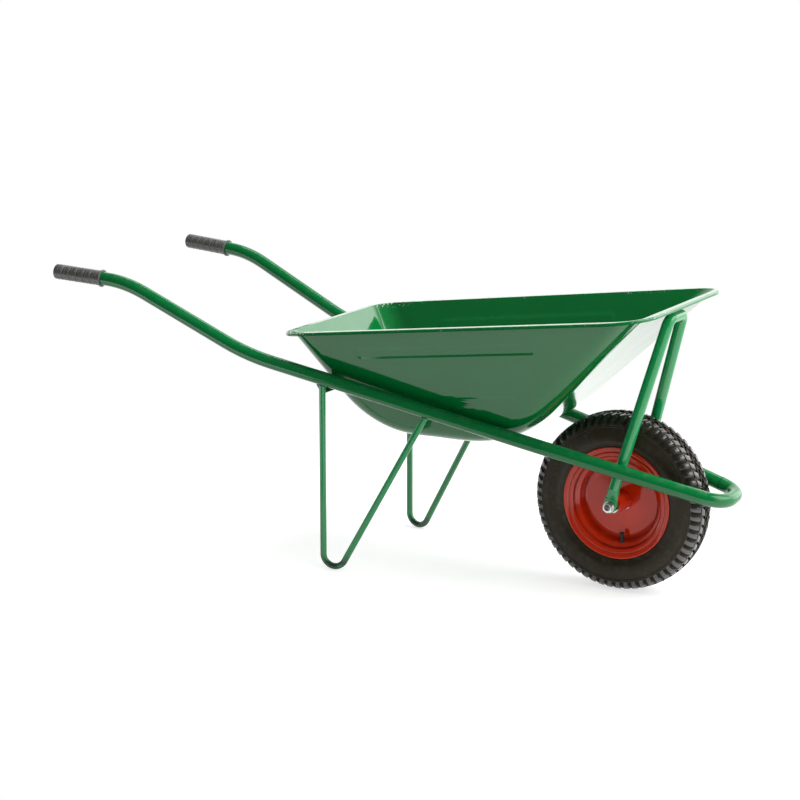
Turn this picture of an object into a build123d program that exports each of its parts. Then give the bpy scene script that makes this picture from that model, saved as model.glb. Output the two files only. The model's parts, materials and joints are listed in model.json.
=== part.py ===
"""One-wheel builder's wheelbarrow: tube frame, pressed tray, round-bar legs and a pneumatic wheel.

X points from the handles to the wheel, Y to the operator's left, Z up. Sizes are measured from the
point on the ground under the axle, and the finished pieces are then shifted so that the origin is
the middle of the footprint.
"""
import os
from math import atan2, cos, pi, radians, sin, tan

from build123d import *

STAND = (Align.CENTER, Align.CENTER, Align.MIN)

# Wheel
tyre_radius = 190.0
tyre_half_width = 43.0
tread_half_width = 25.0
shoulder_drop = 15.0
shoulder_half_width = 38.0
tyre_wall = 7.0
tread_wall = 13.0
bead_radius = 101.6
bead_half_width = 30.0
rim_flange_radius = 120.0
rim_half_width = 34.0
rim_sheet = 2.5
well_radius = 86.0
well_outer_radius = 95.0
well_half_width = 20.0
well_bend = 8.0
rim_bend = 4.0
rim_edge = 1.1
seat_step = 4.0
tyre_seat_gap = 0.3
bead_width = 7.0
tube_wall = 3.0
tube_clearance = 0.5

# Hub, bearings and axle
axle_radius = 6.0
bearing_bore_clearance = 0.05
bearing_radius = 16.0
bearing_width = 10.0
race_wall = 3.0
groove_depth = 1.0
ball_count = 9
ball_clearance = 0.05
hub_wall = 5.0
hub_half_length = 56.0
hub_seat_clearance = 0.05
spacer_wall = 3.5
washer_radius = 12.0
washer_thickness = 2.5
nut_across_flats = 19.0
nut_height = 8.0
axle_stick_out = 3.0

# Valve
valve_radius = 4.0
valve_length = 27.0
valve_offset = 16.0
valve_turn = 6.0
valve_clearance = 0.3
cap_radius = 4.9
cap_length = 9.0
cap_end = 1.5
cap_edge = 0.8
cap_clearance = 0.05

# Rails: centreline of the left tube from the handle end to the nose bow
rail_radius = 15.0
rail_wall = 2.0
handle_end = (-1262.0, 259.0, 609.5)
grip_bend = (-1087.0, 245.0, 598.0)
grip_bend_radius = 270.0
shoulder_bend = (-791.0, 217.4, 460.0)
shoulder_bend_radius = 520.0
waist_bend = (-122.0, 124.1, 311.0)
waist_bend_radius = 900.0
nose_x = 242.0
nose_half_width = 50.5
nose_z = 224.0
nose_bend_radius = 52.0
seam_gap = 0.4
seam_from_bend = 3.0
sleeve_length = 70.0
sleeve_wall = 2.0
sleeve_clearance = 0.05

# Grips
grip_length = 121.0
grip_radius = 17.0
grip_end_wall = 4.0
grip_clearance = 0.05
grip_edge = 2.5
collar_radius = 19.4
collar_length = 4.5

# Legs: round bar in the vertical plane of each lower rail
leg_radius = 7.0
leg_rear_x = -617.0
leg_foot_radius = 26.0
leg_slant = 29.0
weld_clearance = 0.1

# Tray
sheet = 1.5
tray_rear_x = -716.0
tray_rear_z = 512.6
tray_front_x = 134.0
tray_front_z = 619.0
flange = 15.0
lip = 6.5
rim_roll = 3.0
rim_rear_corner_radius = 58.0
rim_front_corner_radius = 84.0
rim_rear_half_width = 219.7
rim_front_half_width = 240.0
side_slope = 0.405
floor_z = 294.0
floor_rear_x = -552.0
floor_front_x = -209.0
rear_sweep_radius = 200.0
front_sweep_radius = 300.0
side_corner_radius = 50.0
swage_height = 36.0
swage_depth = 0.9
swage_flank = 80.0
swage_edge_depth = 0.3
swage_edge_flank = 86.0
upper_swage_x = (-545.0, -108.0)
upper_swage_drop = 54.0
lower_swage_x = (-400.0, -170.0)
lower_swage_drop = 172.0
tray_overshoot = 40.0
side_wall_steepness = 45.0

# Rear cross bar and the bolts that hold the tray on it
bar_width = 25.0
bar_thickness = 5.0
bar_z = 398.0
bolt_radius = 4.0
bolt_clearance = 0.2
bolt_head_radius = 9.0
bolt_head_height = 4.5
bolt_spacing = 200.0
bolt_stick_out = 3.0
bolt_washer_radius = 9.0
bolt_washer_thickness = 1.6
bolt_nut_flats = 13.0
bolt_nut_height = 6.5

# Front hoop
hoop_radius = 12.0
hoop_wall = 2.0
hoop_top_z = 590.0
hoop_top_half_width = 36.0
hoop_bend_radius = 18.0
hoop_touch = 0.4
tab_width = 28.0
tab_thickness = 6.0
tab_inward = 5.0
flat_start = 40.0
flat_end = 16.0

axle_z = tyre_radius


def mirrored(point):
    """The same point on the right-hand side."""
    return (point[0], -point[1], point[2])


def on_line(start, end, x):
    """Point of a straight line at a given x."""
    share = (x - start[0]) / (end[0] - start[0])
    return tuple(a + (b - a) * share for a, b in zip(start, end))


def pipe(points, radii, radius, wall):
    """Bent round tube along straight runs joined by arcs."""
    path = FilletPolyline(*points, radius=radii) if radii else Line(*points)
    section = Plane(origin=path @ 0, z_dir=path % 0)
    outer = sweep(section * Circle(radius), path=path)
    inner = sweep(section * Circle(radius - wall), path=path)
    return outer - inner


def rod(start, end, radius):
    """Straight solid cylinder between two points."""
    axis = Vector(*end) - Vector(*start)
    return Plane(origin=start, z_dir=axis) * Cylinder(radius, axis.length, align=STAND)


def turned(points):
    """Solid of revolution about the wheel's axis from (radius, y) points."""
    return revolve(make_face(Polyline(*points, close=True)), Axis.Y)


def sleeve(outer, inner, low, high):
    """Ring on the wheel's axis between two values of y."""
    return turned([(inner, low), (outer, low), (outer, high), (inner, high)])


def hexagon(flats, hole, low, high):
    """Hexagon nut on the wheel's axis between two values of y."""
    face = RegularPolygon(flats / 2, 6, major_radius=False) - Circle(hole)
    return Plane(origin=(0, low, 0), x_dir=(1, 0, 0), z_dir=(0, 1, 0)) * extrude(face, high - low)


def both_sides(piece):
    """A piece and its mirror image, as separate solids."""
    return Compound(children=[*piece.solids(), *mirror(piece, Plane.XZ).solids()])


nose_corner = (nose_x, nose_half_width, nose_z)

# Rails and nose bow
nose_turn = radians(90) - atan2(waist_bend[1] - nose_half_width, nose_x - waist_bend[0])
nose_run = nose_bend_radius * tan(nose_turn / 2)
seam_x = nose_x - nose_run - seam_from_bend
seam = on_line(waist_bend, nose_corner, seam_x)
seam_left = on_line(waist_bend, nose_corner, seam_x - seam_gap)
left_run = [handle_end, grip_bend, shoulder_bend, waist_bend]
handle_radii = [grip_bend_radius, shoulder_bend_radius, waist_bend_radius]
left_rail = pipe([*left_run, seam_left], handle_radii, rail_radius, rail_wall)
right_run = [mirrored(point) for point in [*left_run, nose_corner]]
right_radii = [*handle_radii, nose_bend_radius, nose_bend_radius]
right_rail = pipe([*right_run, nose_corner, seam], right_radii, rail_radius, rail_wall)
lower_left = rod(shoulder_bend, waist_bend, rail_radius + weld_clearance)

# Sleeve inside the seam: it reaches back along the straight run, and its front end stops at the bend
sleeve_front = on_line(waist_bend, nose_corner, seam_x + seam_from_bend)
sleeve_rear = on_line(waist_bend, nose_corner, seam_x + seam_from_bend - sleeve_length)
sleeve_radius = rail_radius - rail_wall - sleeve_clearance
nose_sleeve = pipe([sleeve_rear, sleeve_front], None, sleeve_radius, sleeve_wall)

# Grips: closed sleeves with a collar at the inner end
grip_axis = Vector(*handle_end) - Vector(*grip_bend)
grip_plane = Plane(origin=handle_end, z_dir=grip_axis)
grip_inner = grip_end_wall - grip_length
grip_outline = [
    (0, grip_end_wall), (grip_radius - grip_edge, grip_end_wall),
    (grip_radius, grip_end_wall - grip_edge),
    (grip_radius, grip_inner + collar_length), (collar_radius, grip_inner + collar_length),
    (collar_radius, grip_inner), (rail_radius + grip_clearance, grip_inner),
    (rail_radius + grip_clearance, 0), (0, 0),
]
grip_profile = make_face(Plane.XZ * Polyline(*grip_outline, close=True))
left_grip = grip_plane * revolve(grip_profile, Axis.Z)
right_grip = mirror(left_grip, Plane.XZ)

# Legs: one round bar each, bent at the foot, its two ends cut to the rail
rail_yaw = atan2(waist_bend[1] - shoulder_bend[1], waist_bend[0] - shoulder_bend[0])
leg_top = on_line(shoulder_bend, waist_bend, leg_rear_x)
leg_plane = Plane(
    origin=(leg_top[0], leg_top[1], 0), x_dir=(cos(rail_yaw), sin(rail_yaw), 0),
    z_dir=(sin(rail_yaw), -cos(rail_yaw), 0),
)
rail_fall = (waist_bend[2] - shoulder_bend[2]) / (waist_bend[0] - shoulder_bend[0]) * cos(rail_yaw)
leg_vertex = leg_foot_radius + leg_radius - leg_foot_radius / tan(radians(leg_slant / 2))
slant_run = (leg_top[2] - leg_vertex) / (1 / tan(radians(leg_slant)) - rail_fall)
slant_end = (slant_run, leg_top[2] + slant_run * rail_fall)
leg_path = leg_plane * FilletPolyline(
    (0, leg_top[2]), (0, leg_vertex), slant_end, radius=leg_foot_radius
)
leg_section = Plane(origin=leg_path @ 0, z_dir=leg_path % 0)
leg_bar = sweep(leg_section * Circle(leg_radius), path=leg_path)
left_leg = leg_bar - lower_left
right_leg = mirror(left_leg, Plane.XZ)

# Tray: side outline, side planes and the tilted rim
rim_tilt = atan2(tray_front_z - tray_rear_z, tray_front_x - tray_rear_x)
rim_plane = Plane(
    origin=(tray_rear_x, 0, tray_rear_z), x_dir=(cos(rim_tilt), 0, sin(rim_tilt)),
    z_dir=(-sin(rim_tilt), 0, cos(rim_tilt)),
)
rim_length = (tray_front_x - tray_rear_x) / cos(rim_tilt)
rear_wall_top = (tray_rear_x + flange * cos(rim_tilt), tray_rear_z + flange * sin(rim_tilt))
front_wall_top = (tray_front_x - flange * cos(rim_tilt), tray_front_z - flange * sin(rim_tilt))
rim_flare = (rim_front_half_width - rim_rear_half_width) / (tray_front_x - tray_rear_x)
rim_rise = tan(rim_tilt)
side_along = rim_flare - side_slope * rim_rise


def side_y(x, z):
    """Half width of the tray's outer side at a point of the side outline."""
    rear = rim_rear_half_width - flange
    return rear + side_along * (x - tray_rear_x) + side_slope * (z - tray_rear_z)


def extended(bottom, top):
    """A wall line carried past the rim."""
    share = (top[1] - bottom[1] + tray_overshoot) / (top[1] - bottom[1])
    return (bottom[0] + (top[0] - bottom[0]) * share, bottom[1] + (top[1] - bottom[1]) * share)


def side_plane(inset):
    """Left side plane of the tray, pointing out, moved in by a wall thickness."""
    outward = Vector(-side_along, 1, -side_slope).normalized()
    point = Vector(floor_rear_x, side_y(floor_rear_x, floor_z), floor_z)
    along = Vector(1, side_along, 0)
    return Plane(origin=point - outward * inset, x_dir=along, z_dir=outward)


def swage(x_range, drop, inset):
    """Long soft groove with round ends in the left side, below the rim by a drop: three slopes deep."""
    ends = []
    for x in x_range:
        z = tray_rear_z + (x - tray_rear_x) * rim_rise - drop
        ends.append(Vector(x, side_y(x, z), z))
    run = ends[1] - ends[0]
    outward = side_plane(inset).z_dir
    plane = Plane(origin=(ends[0] + ends[1]) * 0.5 - outward * inset, x_dir=run, z_dir=outward)
    growth = 2 * inset * tan(radians(90 - swage_flank) / 2)
    size = (run.length + growth, swage_height + growth)
    edge = (swage_edge_depth, swage_edge_flank)
    steps = []
    for depth, flank in (edge, (swage_depth, swage_flank), edge):
        steps.append(plane * extrude(SlotOverall(*size), -depth, taper=flank))
        shrink = 2 * depth * tan(radians(flank))
        size = (size[0] - shrink, size[1] - shrink)
        plane = plane.offset(-depth)
    return steps[0] + steps[1] + steps[2]


def tray_block(inset):
    """Solid tray form: the outer skin, or the hollow when moved in by the sheet."""
    floor_rear = (floor_rear_x, floor_z)
    floor_front = (floor_front_x, floor_z)
    outline = [
        extended(floor_rear, rear_wall_top), floor_rear, floor_front,
        extended(floor_front, front_wall_top),
    ]
    bottom = FilletPolyline(*outline, radius=[rear_sweep_radius, front_sweep_radius])
    face = offset(make_face([*bottom.edges(), Line(outline[-1], outline[0])]), -inset)
    block = extrude(Plane.XZ * face, 2 * rim_front_half_width, both=True)
    left = side_plane(inset)
    block = split(block, bisect_by=left, keep=Keep.BOTTOM)
    block = split(mirror(block, Plane.XZ), bisect_by=left, keep=Keep.BOTTOM)
    top = block.faces().sort_by(Axis.Z)[-1].center().Z
    steepness = cos(radians(side_wall_steepness))
    slanted = block.faces().filter_by(lambda one: abs(one.normal_at().Y) > steepness)
    edges = [edge for one in slanted for edge in one.edges() if edge.center().Z < top - sheet]
    block = fillet(edges, side_corner_radius - inset)
    upper = swage(upper_swage_x, upper_swage_drop, inset)
    lower = swage(lower_swage_x, lower_swage_drop, inset)
    for groove in (upper, lower):
        block = block - groove - mirror(groove, Plane.XZ)
    return block


hollow = tray_block(sheet)
skin = split(tray_block(0), bisect_by=rim_plane, keep=Keep.BOTTOM)
rim_points = [
    (0, -rim_rear_half_width), (rim_length, -rim_front_half_width),
    (rim_length, rim_front_half_width), (0, rim_rear_half_width),
]
rim_face = make_face(Polyline(*rim_points, close=True))
rim_face = fillet(rim_face.vertices().sort_by(Axis.X)[:2], rim_rear_corner_radius)
rim_face = fillet(rim_face.vertices().sort_by(Axis.X)[-2:], rim_front_corner_radius)


def rolled(face, depth, radius):
    """Plate hanging down from a face, its upper edge rounded."""
    plate = extrude(face, -depth)
    return fillet(plate.faces().sort_by(Axis.Z)[-1].edges(), radius)


rim_outside = rolled(rim_face, lip, rim_roll)
rim_inside = Pos(0, 0, -sheet) * rolled(offset(rim_face, -sheet), lip, rim_roll - sheet)
tray = skin + rim_plane * (rim_outside - rim_inside) - hollow

# Rear cross bar: lies flat on the tray's rear wall, ends at the legs and is cut to the rails
rear_rise = Vector(rear_wall_top[0] - floor_rear_x, 0, rear_wall_top[1] - floor_z).normalized()
rear_out = Vector(-rear_rise.Z, 0, rear_rise.X)
bar_x = floor_rear_x + (bar_z - floor_z) * rear_rise.X / rear_rise.Z
bar_seat = Plane(origin=(bar_x, 0, bar_z), x_dir=(0, 1, 0), z_dir=rear_out)
bar_half = leg_top[1] - leg_radius - weld_clearance
rear_cross_bar = bar_seat * Box(2 * bar_half, bar_width, bar_thickness, align=STAND)
rear_cross_bar = rear_cross_bar - lower_left - mirror(lower_left, Plane.XZ)

# Bolts through the tray and the cross bar, heads inside the tray
bolt_tail = bar_thickness + bolt_washer_thickness + bolt_nut_height + bolt_stick_out
bolts = []
washers = []
nuts = []
for side in (-1, 1):
    spot = bar_seat * Pos(side * bolt_spacing / 2, 0, 0)
    hole = spot * Pos(0, 0, -2 * bolt_head_height) * Cylinder(
        bolt_radius + bolt_clearance, 2 * (bolt_tail + bolt_head_height), align=STAND
    )
    tray = tray - hole
    rear_cross_bar = rear_cross_bar - hole
    dome_radius = (bolt_head_radius**2 + bolt_head_height**2) / (2 * bolt_head_height)
    dome = Pos(0, 0, dome_radius - bolt_head_height) * Sphere(dome_radius)
    head = dome & Pos(0, 0, -bolt_head_height) * Cylinder(dome_radius, bolt_head_height, align=STAND)
    shank = Cylinder(bolt_radius, sheet + bolt_tail, align=STAND)
    bolts.append(spot * Pos(0, 0, -sheet) * (head + shank))
    loose = bolt_radius + bolt_clearance
    washer = Cylinder(bolt_washer_radius, bolt_washer_thickness, align=STAND)
    washer = washer - Cylinder(loose, 2 * bolt_washer_thickness)
    washers.append(spot * Pos(0, 0, bar_thickness) * washer)
    nut_face = RegularPolygon(bolt_nut_flats / 2, 6, major_radius=False) - Circle(loose)
    nut = extrude(nut_face, bolt_nut_height)
    nuts.append(spot * Pos(0, 0, bar_thickness + bolt_washer_thickness) * nut)

# Front hoop: its top lies on the tray's front wall, its legs touch the rails on the way to the axle
front_rise = Vector(front_wall_top[0] - floor_front_x, 0, front_wall_top[1] - floor_z).normalized()
hoop_top_x = floor_front_x + (hoop_top_z - floor_z) * front_rise.X / front_rise.Z
hoop_top_x = hoop_top_x + (hoop_radius + hoop_touch) / front_rise.Z
hoop_lean = hoop_top_x / (hoop_top_z - axle_z)
nose_fall = (nose_z - waist_bend[2]) / (nose_x - waist_bend[0])
cross_z = waist_bend[2] - nose_fall * (hoop_lean * axle_z + waist_bend[0])
cross_z = cross_z / (1 - nose_fall * hoop_lean)
cross_x = hoop_lean * (cross_z - axle_z)
rail_way = Vector(*nose_corner) - Vector(*waist_bend)
between = rail_way.cross(Vector(hoop_lean, 0, 1)).normalized()
cross_y = on_line(waist_bend, nose_corner, cross_x)[1]
cross_y = cross_y - (rail_radius + hoop_radius + hoop_touch) / abs(between.Y)
hoop_spread = (cross_y - hoop_top_half_width) / (hoop_top_z - cross_z)


def hoop_point(z):
    """Centre of the hoop's left leg at a height."""
    return (hoop_lean * (z - axle_z), hoop_top_half_width + hoop_spread * (hoop_top_z - z), z)


hoop_low = hoop_point(axle_z + flat_start)
hoop_corner = hoop_point(hoop_top_z)
hoop_run = [hoop_low, hoop_corner, mirrored(hoop_corner), mirrored(hoop_low)]
hoop_tube = pipe(hoop_run, [hoop_bend_radius, hoop_bend_radius], hoop_radius, hoop_wall)
tab_y = hoop_low[1] - tab_inward
tab_up = Vector(hoop_lean, 0, 1).normalized()
tab_across = Vector(1, 0, -hoop_lean).normalized()
tab_plane = Plane(origin=(0, tab_y, axle_z), x_dir=tab_across, z_dir=(0, -1, 0))
tab_face = Circle(tab_width / 2) + Pos(0, flat_end / 2) * Rectangle(tab_width, flat_end)
tab_face = tab_face - Circle(axle_radius + bolt_clearance)
tab = tab_plane * extrude(tab_face, tab_thickness / 2, both=True)
tab_top = Vector(0, tab_y, axle_z) + tab_up * flat_end
hoop_way = Vector(*hoop_corner) - Vector(*hoop_low)
round_end = Plane(origin=hoop_low, x_dir=tab_across, z_dir=hoop_way)
flat_end_plane = Plane(origin=tab_top, x_dir=tab_across, z_dir=tab_up)
flattened = flat_end_plane * Ellipse(tab_width / 2, tab_thickness / 2)
pressed = loft([flattened, round_end * Circle(hoop_radius)])
hoop_end = tab + pressed
front_hoop = hoop_tube + hoop_end + mirror(hoop_end, Plane.XZ)

# Axle stack, from the middle outwards
tab_inside = tab_y - tab_thickness / 2
tab_outside = tab_y + tab_thickness / 2
nut_start = tab_outside + washer_thickness
axle_half = nut_start + nut_height + axle_stick_out
loose_bore = axle_radius + bearing_bore_clearance
axle = Rot(-90, 0, 0) * Cylinder(axle_radius, 2 * axle_half)
axle_nuts = both_sides(hexagon(nut_across_flats, loose_bore, nut_start, nut_start + nut_height))
axle_washers = both_sides(sleeve(washer_radius, loose_bore, tab_outside, nut_start))
axle_spacers = both_sides(sleeve(axle_radius + spacer_wall, loose_bore, hub_half_length, tab_inside))
bearing_start = hub_half_length - bearing_width
bearing_spacer = sleeve(axle_radius + spacer_wall, loose_bore, -bearing_start, bearing_start)

# Bearings: two grooved races with balls between them
inner_race_radius = loose_bore + race_wall
outer_race_bore = bearing_radius - race_wall
ball_path = (inner_race_radius + outer_race_bore) / 2
ball_radius = (outer_race_bore - inner_race_radius) / 2 + groove_depth
bearing_middle = bearing_start + bearing_width / 2
ball_groove = Pos(0, bearing_middle, 0) * Rot(90, 0, 0) * Torus(ball_path, ball_radius + ball_clearance)
inner_race = sleeve(inner_race_radius, loose_bore, bearing_start, hub_half_length) - ball_groove
bearing_inner_races = both_sides(inner_race)
outer_race = sleeve(bearing_radius, outer_race_bore, bearing_start, hub_half_length) - ball_groove
bearing_outer_races = both_sides(outer_race)
balls = []
for i in range(ball_count):
    turn = 2 * pi * i / ball_count
    ball_at = Pos(ball_path * cos(turn), bearing_middle, ball_path * sin(turn))
    balls.append(ball_at * Sphere(ball_radius))
bearing_balls = both_sides(Compound(children=balls))

# Hub tube and the two pressed halves of the rim
hub_seat = bearing_radius + hub_seat_clearance
hub_radius = hub_seat + hub_wall
hub_tube = sleeve(hub_radius, hub_seat, -hub_half_length, hub_half_length)
rim_line = [
    (hub_radius + hub_seat_clearance, 0), (well_radius, 0),
    (well_outer_radius, well_half_width), (bead_radius, well_half_width + seat_step),
    (bead_radius, bead_half_width), (rim_flange_radius, rim_half_width),
]
rim_bends = [well_bend, rim_bend, rim_bend, rim_bend]
rim_section = make_face(offset(FilletPolyline(*rim_line, radius=rim_bends), rim_sheet, side=Side.LEFT))
rim_section = fillet(rim_section.vertices().sort_by(Axis.X)[-2:], rim_edge)
left_rim_half = revolve(rim_section, Axis.Y)
valve_line = Rot(0, -valve_turn, 0) * Pos(0, -valve_offset, -well_outer_radius)
valve_hole = valve_line * Cylinder(valve_radius + valve_clearance, 2 * valve_length)
right_rim_half = mirror(left_rim_half, Plane.XZ) - valve_hole

# Tyre, its inner tube and the valve
bead_seat = bead_radius + tyre_seat_gap
bead_outside = bead_half_width - rim_bend
shoulder_radius = tyre_radius - shoulder_drop
waist_radius = (rim_flange_radius + shoulder_radius) / 2
heel_radius = rim_flange_radius + bead_width
heel_half_width = rim_half_width - 2 * tyre_seat_gap
tyre_half_outline = [
    (bead_seat, bead_outside - bead_width), (bead_seat, bead_outside),
    (rim_flange_radius, heel_half_width), (heel_radius, tyre_half_width - tyre_wall),
    (waist_radius, tyre_half_width), (shoulder_radius, shoulder_half_width),
    (tyre_radius, tread_half_width),
]
hollow_half_outline = [
    (bead_seat, bead_outside - bead_width), (rim_flange_radius, bead_outside - bead_width),
    (heel_radius, tyre_half_width - 2 * tyre_wall), (waist_radius, tyre_half_width - tyre_wall),
    (shoulder_radius - tyre_wall, shoulder_half_width - tyre_wall),
    (tyre_radius - tread_wall, tread_half_width - tyre_wall),
]


def across(half):
    """A half outline and its mirror image, from one bead to the other."""
    return [*half, *[(r, -y) for r, y in reversed(half)]]


tyre_hollow = across(hollow_half_outline)
tyre = turned([*across(tyre_half_outline), *tyre_hollow[-2:0:-1]])
well_outline = [
    (well_outer_radius, -well_half_width), (well_radius, 0), (well_outer_radius, well_half_width),
]
cavity_outline = [*tyre_hollow, *well_outline]
cavity = make_face(Polyline(*cavity_outline, close=True))
tube_section = offset(cavity, -tube_clearance) - offset(cavity, -tube_clearance - tube_wall)
inner_tube = revolve(tube_section, Axis.Y)
valve_stem = valve_line * Cylinder(valve_radius, valve_length, align=STAND) - revolve(cavity, Axis.Y)
cap_outline = [
    (valve_radius + cap_clearance, 0), (cap_radius, 0), (cap_radius, cap_length - cap_edge),
    (cap_radius - cap_edge, cap_length), (0, cap_length), (0, cap_length - cap_end),
    (valve_radius + cap_clearance, cap_length - cap_end),
]
cap_turned = revolve(make_face(Plane.XZ * Polyline(*cap_outline, close=True)), Axis.Z)
cap_base = valve_length - cap_length + cap_end + cap_clearance
valve_cap = valve_line * Pos(0, 0, cap_base) * cap_turned

# Every piece under its node's name; the wheel pieces are lifted to the axle's height
frame_pieces = {
    "right_rail": right_rail, "left_rail": left_rail, "nose_sleeve": nose_sleeve,
    "right_grip": right_grip, "left_grip": left_grip, "right_leg": right_leg, "left_leg": left_leg,
    "rear_cross_bar": rear_cross_bar, "tray": tray, "front_hoop": front_hoop,
    "tray_bolts": Compound(children=bolts), "tray_washers": Compound(children=washers),
    "tray_nuts": Compound(children=nuts),
}
axle_pieces = {
    "axle": axle, "axle_nuts": axle_nuts, "axle_washers": axle_washers, "axle_spacers": axle_spacers,
    "bearing_spacer": bearing_spacer, "bearing_inner_races": bearing_inner_races,
    "bearing_outer_races": bearing_outer_races, "bearing_balls": bearing_balls, "hub_tube": hub_tube,
    "right_rim_half": right_rim_half, "left_rim_half": left_rim_half, "tyre": tyre,
    "inner_tube": inner_tube, "valve_stem": valve_stem, "valve_cap": valve_cap,
}
pieces = {**frame_pieces, **{name: Pos(0, 0, axle_z) * piece for name, piece in axle_pieces.items()}}
boxes = [piece.bounding_box() for piece in pieces.values()]
rear_end = min(box.min.X for box in boxes)
front_end = max(box.max.X for box in boxes)
middle = (rear_end + front_end) / 2
os.makedirs("parts", exist_ok=True)
for name, piece in pieces.items():
    export_step(Pos(-middle, 0, 0) * piece, f"parts/{name}.step")
print(f"axle at x {-middle:.3f}, overall length {front_end - rear_end:.2f}")
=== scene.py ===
"""Wheelbarrow: gloss paint, moulded tyre, ribbed grips, weld beads and a plain white studio."""
import json
from math import cos, pi, radians, sin, sqrt, tan

import bmesh
import bpy
from bpy.props import FloatProperty, FloatVectorProperty, IntProperty, PointerProperty
from mathutils import Matrix, Vector

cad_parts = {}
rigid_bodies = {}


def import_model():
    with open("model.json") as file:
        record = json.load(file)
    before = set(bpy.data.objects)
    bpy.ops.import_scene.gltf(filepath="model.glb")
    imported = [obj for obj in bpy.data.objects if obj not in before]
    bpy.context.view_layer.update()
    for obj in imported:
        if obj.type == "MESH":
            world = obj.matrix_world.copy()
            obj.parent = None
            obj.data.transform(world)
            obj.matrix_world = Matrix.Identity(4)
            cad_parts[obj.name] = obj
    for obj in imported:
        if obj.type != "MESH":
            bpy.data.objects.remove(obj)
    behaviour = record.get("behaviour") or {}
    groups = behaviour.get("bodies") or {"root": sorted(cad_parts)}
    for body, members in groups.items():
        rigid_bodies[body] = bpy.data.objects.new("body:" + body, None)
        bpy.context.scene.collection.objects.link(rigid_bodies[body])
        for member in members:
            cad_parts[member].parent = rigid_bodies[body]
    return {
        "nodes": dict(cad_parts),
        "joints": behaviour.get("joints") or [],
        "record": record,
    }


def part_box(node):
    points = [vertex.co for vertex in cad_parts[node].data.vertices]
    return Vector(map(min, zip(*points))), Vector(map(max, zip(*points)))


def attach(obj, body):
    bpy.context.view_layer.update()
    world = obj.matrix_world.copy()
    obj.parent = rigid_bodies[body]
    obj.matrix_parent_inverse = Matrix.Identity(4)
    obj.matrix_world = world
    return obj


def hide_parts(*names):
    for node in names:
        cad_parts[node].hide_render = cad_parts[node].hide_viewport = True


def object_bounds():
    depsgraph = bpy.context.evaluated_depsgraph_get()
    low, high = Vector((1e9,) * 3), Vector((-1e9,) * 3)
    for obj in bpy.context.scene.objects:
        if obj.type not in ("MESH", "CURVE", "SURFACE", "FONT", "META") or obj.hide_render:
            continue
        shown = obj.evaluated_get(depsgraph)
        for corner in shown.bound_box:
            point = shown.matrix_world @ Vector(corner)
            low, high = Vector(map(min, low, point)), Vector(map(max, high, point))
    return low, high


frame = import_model()
CAD_LOW, CAD_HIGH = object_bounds()
NODES = frame["nodes"]
AXLE = Vector(frame["joints"][0]["pos_m"])
MOUNTS = {mount["name"]: mount for mount in frame["record"]["mounts"]}

bl_info = {
    "name": "Wheelbarrow finish",
    "version": (1, 0, 0),
    "blender": (4, 5, 0),
    "location": "3D View > Sidebar > Barrow",
    "description": "Dresses the packed wheelbarrow with its paint, rubber and small parts",
    "category": "Object",
}


# Sizes and colours


def length(name, description, default):
    """A size in metres."""
    return FloatProperty(name=name, description=description, default=default, unit="LENGTH", precision=5)


def number(name, description, default):
    """A plain number."""
    return FloatProperty(name=name, description=description, default=default)


def angle(name, description, degrees):
    """An angle, given in degrees."""
    return FloatProperty(name=name, description=description, default=radians(degrees), subtype="ANGLE")


def focal(name, description, default):
    """A size inside the camera, in millimetres."""
    return FloatProperty(name=name, description=description, default=default, subtype="DISTANCE_CAMERA")


def count(name, description, default, least):
    """A whole number with its least value."""
    return IntProperty(name=name, description=description, default=default, min=least)


def span(name, description, default):
    """Where a change sets in and where it is full."""
    return FloatVectorProperty(name=name, description=description, default=default, size=2)


def colour(name, description, default):
    """A linear colour."""
    return FloatVectorProperty(
        name=name, description=description, default=default, subtype="COLOR", size=3, min=0.0, max=1.0
    )


def place(name, description, default):
    """A point in metres."""
    return FloatVectorProperty(name=name, description=description, default=default, subtype="XYZ", size=3)


class BarrowColours(bpy.types.PropertyGroup):
    """Base colours of the finishes."""

    frame_green: colour("Frame green", "Gloss paint of the rails", (0.0005, 0.168, 0.038))
    # Painted light: a lighter copy of the frame green that stands in for the stronger light falling on the
    # legs and hoop.
    stay_lit_green: colour("Stay green", "Lighter gloss paint of legs and hoop", (0.004, 0.300, 0.082))
    tray_green: colour("Tray green", "Gloss paint of the tray", (0.001, 0.163, 0.033))
    rim_red: colour("Rim red", "Gloss paint of the wheel rim", (0.62, 0.026, 0.003))
    tyre_black: colour("Tyre black", "Moulded rubber", (0.0205, 0.0153, 0.0070))
    tread_black: colour("Tread black", "Rubber of the tread blocks", (0.0082, 0.0066, 0.0036))
    grip_grey: colour("Grip grey", "Rubber of the grips", (0.078, 0.078, 0.075))
    valve_black: colour("Valve black", "Rubber of the valve and the inner tube", (0.012, 0.013, 0.013))
    zinc: colour("Zinc", "Plated nuts, washers and bolts", (0.74, 0.74, 0.71))
    axle_grey: colour("Axle grey", "Plain steel of the axle", (0.16, 0.16, 0.16))
    bearing: colour("Bearing steel", "Ground races and balls", (0.68, 0.68, 0.69))
    dust: colour("Dust", "Dry dust that settles on everything", (0.36, 0.35, 0.31))
    bare_steel: colour("Bare steel", "Where the paint is scuffed off", (0.10, 0.105, 0.10))
    chip: colour("Chip", "Bright metal in the chips of the tray's edge", (0.62, 0.63, 0.60))
    grime: colour("Grime", "Dried mud near the ground", (0.012, 0.016, 0.013))
    # Painted shade: dark red that darkens the rim's grooves where shade falls.
    groove_shade: colour("Groove dirt", "In the grooves of the rim", (0.045, 0.005, 0.002))
    seam_dirt: colour("Seam dirt", "In the joint of the nose bow", (0.006, 0.010, 0.007))
    seam_dust: colour("Seam dust", "On the dirt of that joint", (0.05, 0.05, 0.045))


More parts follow.
